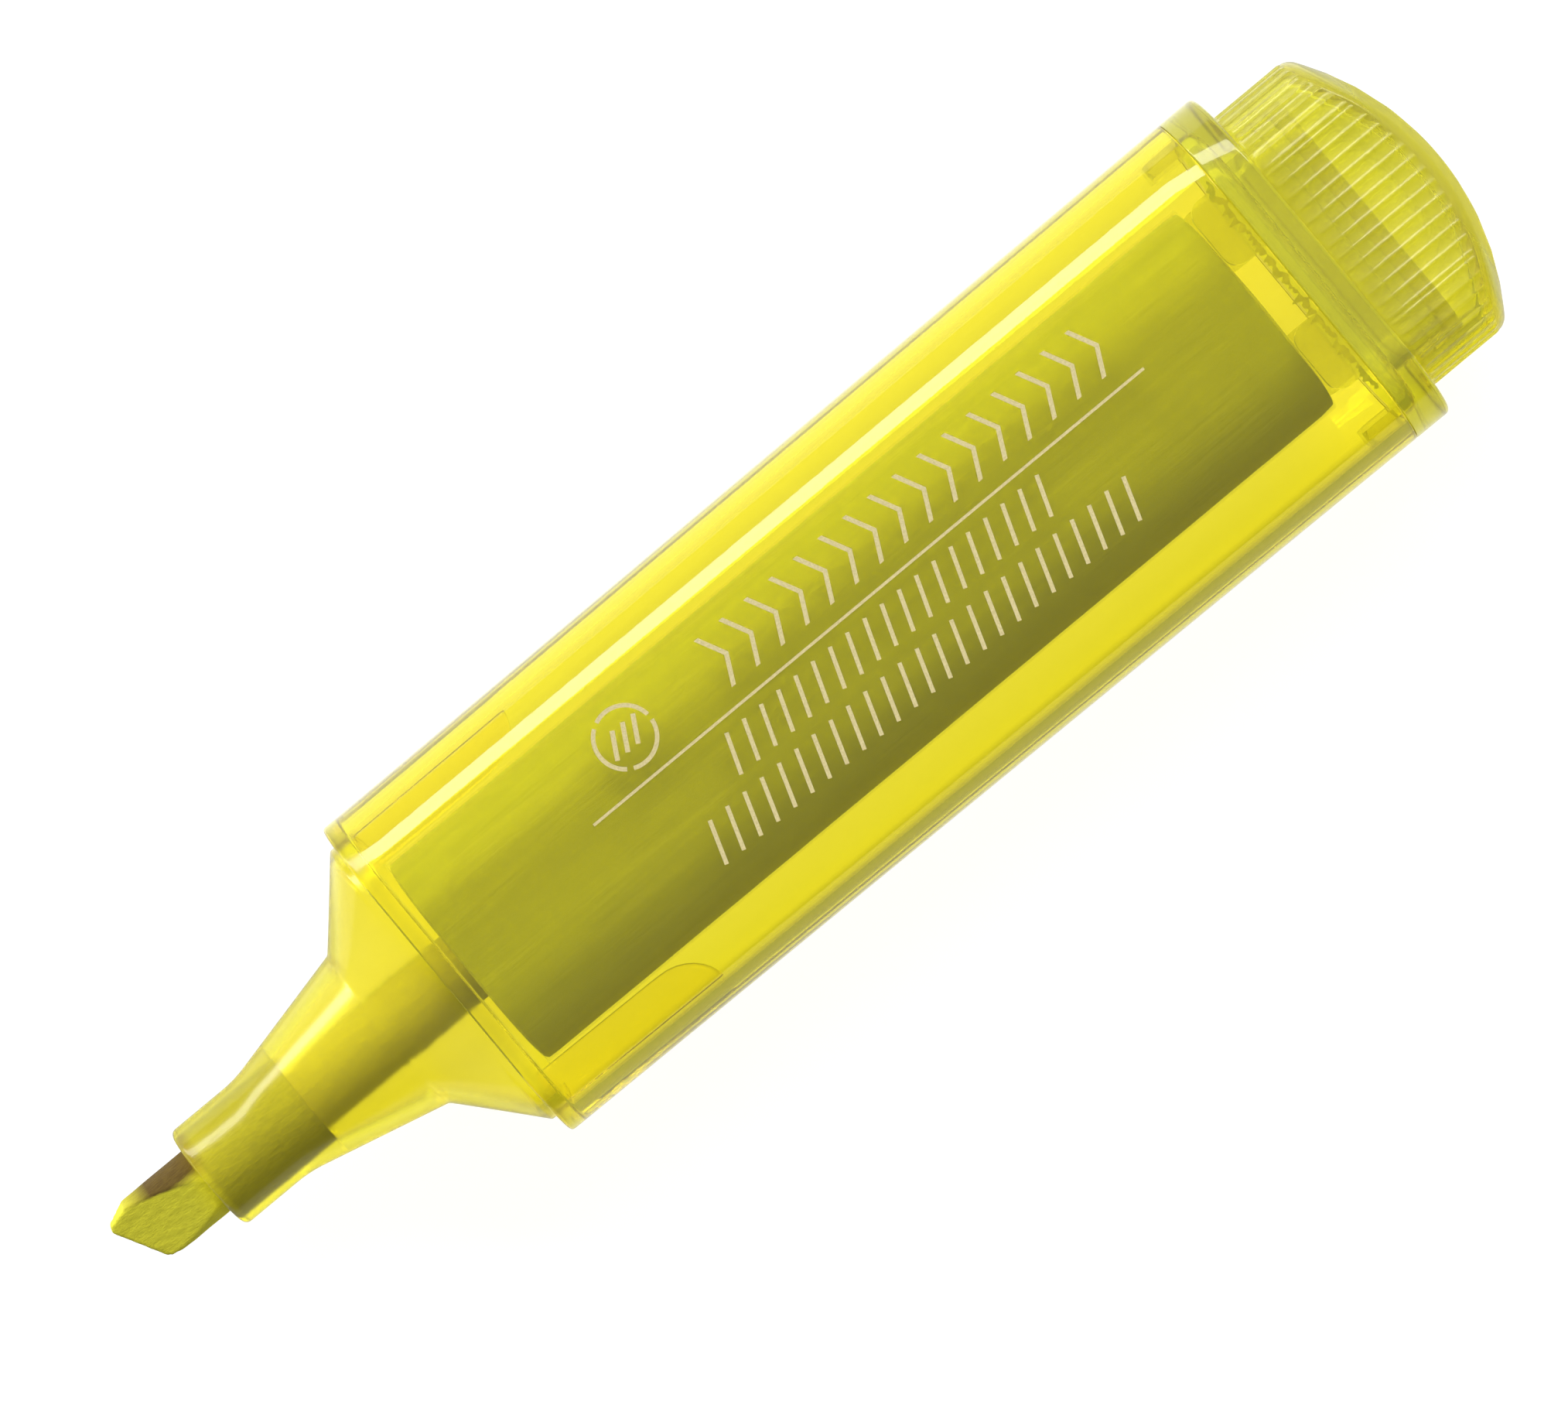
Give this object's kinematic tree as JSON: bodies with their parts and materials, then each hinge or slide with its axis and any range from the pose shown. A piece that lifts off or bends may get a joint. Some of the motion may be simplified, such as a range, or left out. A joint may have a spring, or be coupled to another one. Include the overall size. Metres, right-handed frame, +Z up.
{
  "type": "highlighter",
  "caption": "Uncapped highlighter with a clear flat-sided barrel, chisel felt nib, fibre ink reservoir and ribbed end knob.",
  "frame": {"origin": "the middle of the pen's length and width, on the broad face that it lies on", "axes": "+X runs from the nib to the tail, +Y is across the width towards the nib's leading corner, +Z is up through the thickness"},
  "size_m": [0.116, 0.0274, 0.017],
  "materials": {
    "clear_plastic": "clear yellow moulded plastic, polished",
    "closure_plastic": "clear yellow moulded plastic",
    "knob_plastic": "clear yellow moulded plastic with fine grip ridges",
    "nib_felt": "dense felt soaked in yellow ink, ground at the end",
    "reservoir_fibre": "fibre bundle soaked in yellow ink",
    "wrap_film": "thin clear film",
    "print_foil": "thin satin foil print"
  },
  "bodies": {
    "barrel": {"barrel": "clear_plastic"},
    "closure": {"rear_closure": "closure_plastic", "end_knob": "knob_plastic"},
    "nib": {"nib": "nib_felt"},
    "reservoir": {"reservoir_core": "reservoir_fibre", "reservoir_wrap": "wrap_film"}
  },
  "joints": [
    {"name": "nib_pull", "type": "slide", "parent": "barrel", "child": "nib", "axis": [-1, 0, 0], "range_m": [0, 0.03]},
    {"name": "closure_pull", "type": "slide", "parent": "barrel", "child": "closure", "axis": [1, 0, 0], "range_m": [0, 0.09]},
    {"name": "reservoir_slide", "type": "slide", "parent": "barrel", "child": "reservoir", "axis": [1, 0, 0], "range_m": [0, 0.081]}
  ],
  "couplings": [
    {"joint": "reservoir_slide", "follows": "closure_pull", "ratio": 0.9}
  ]
}
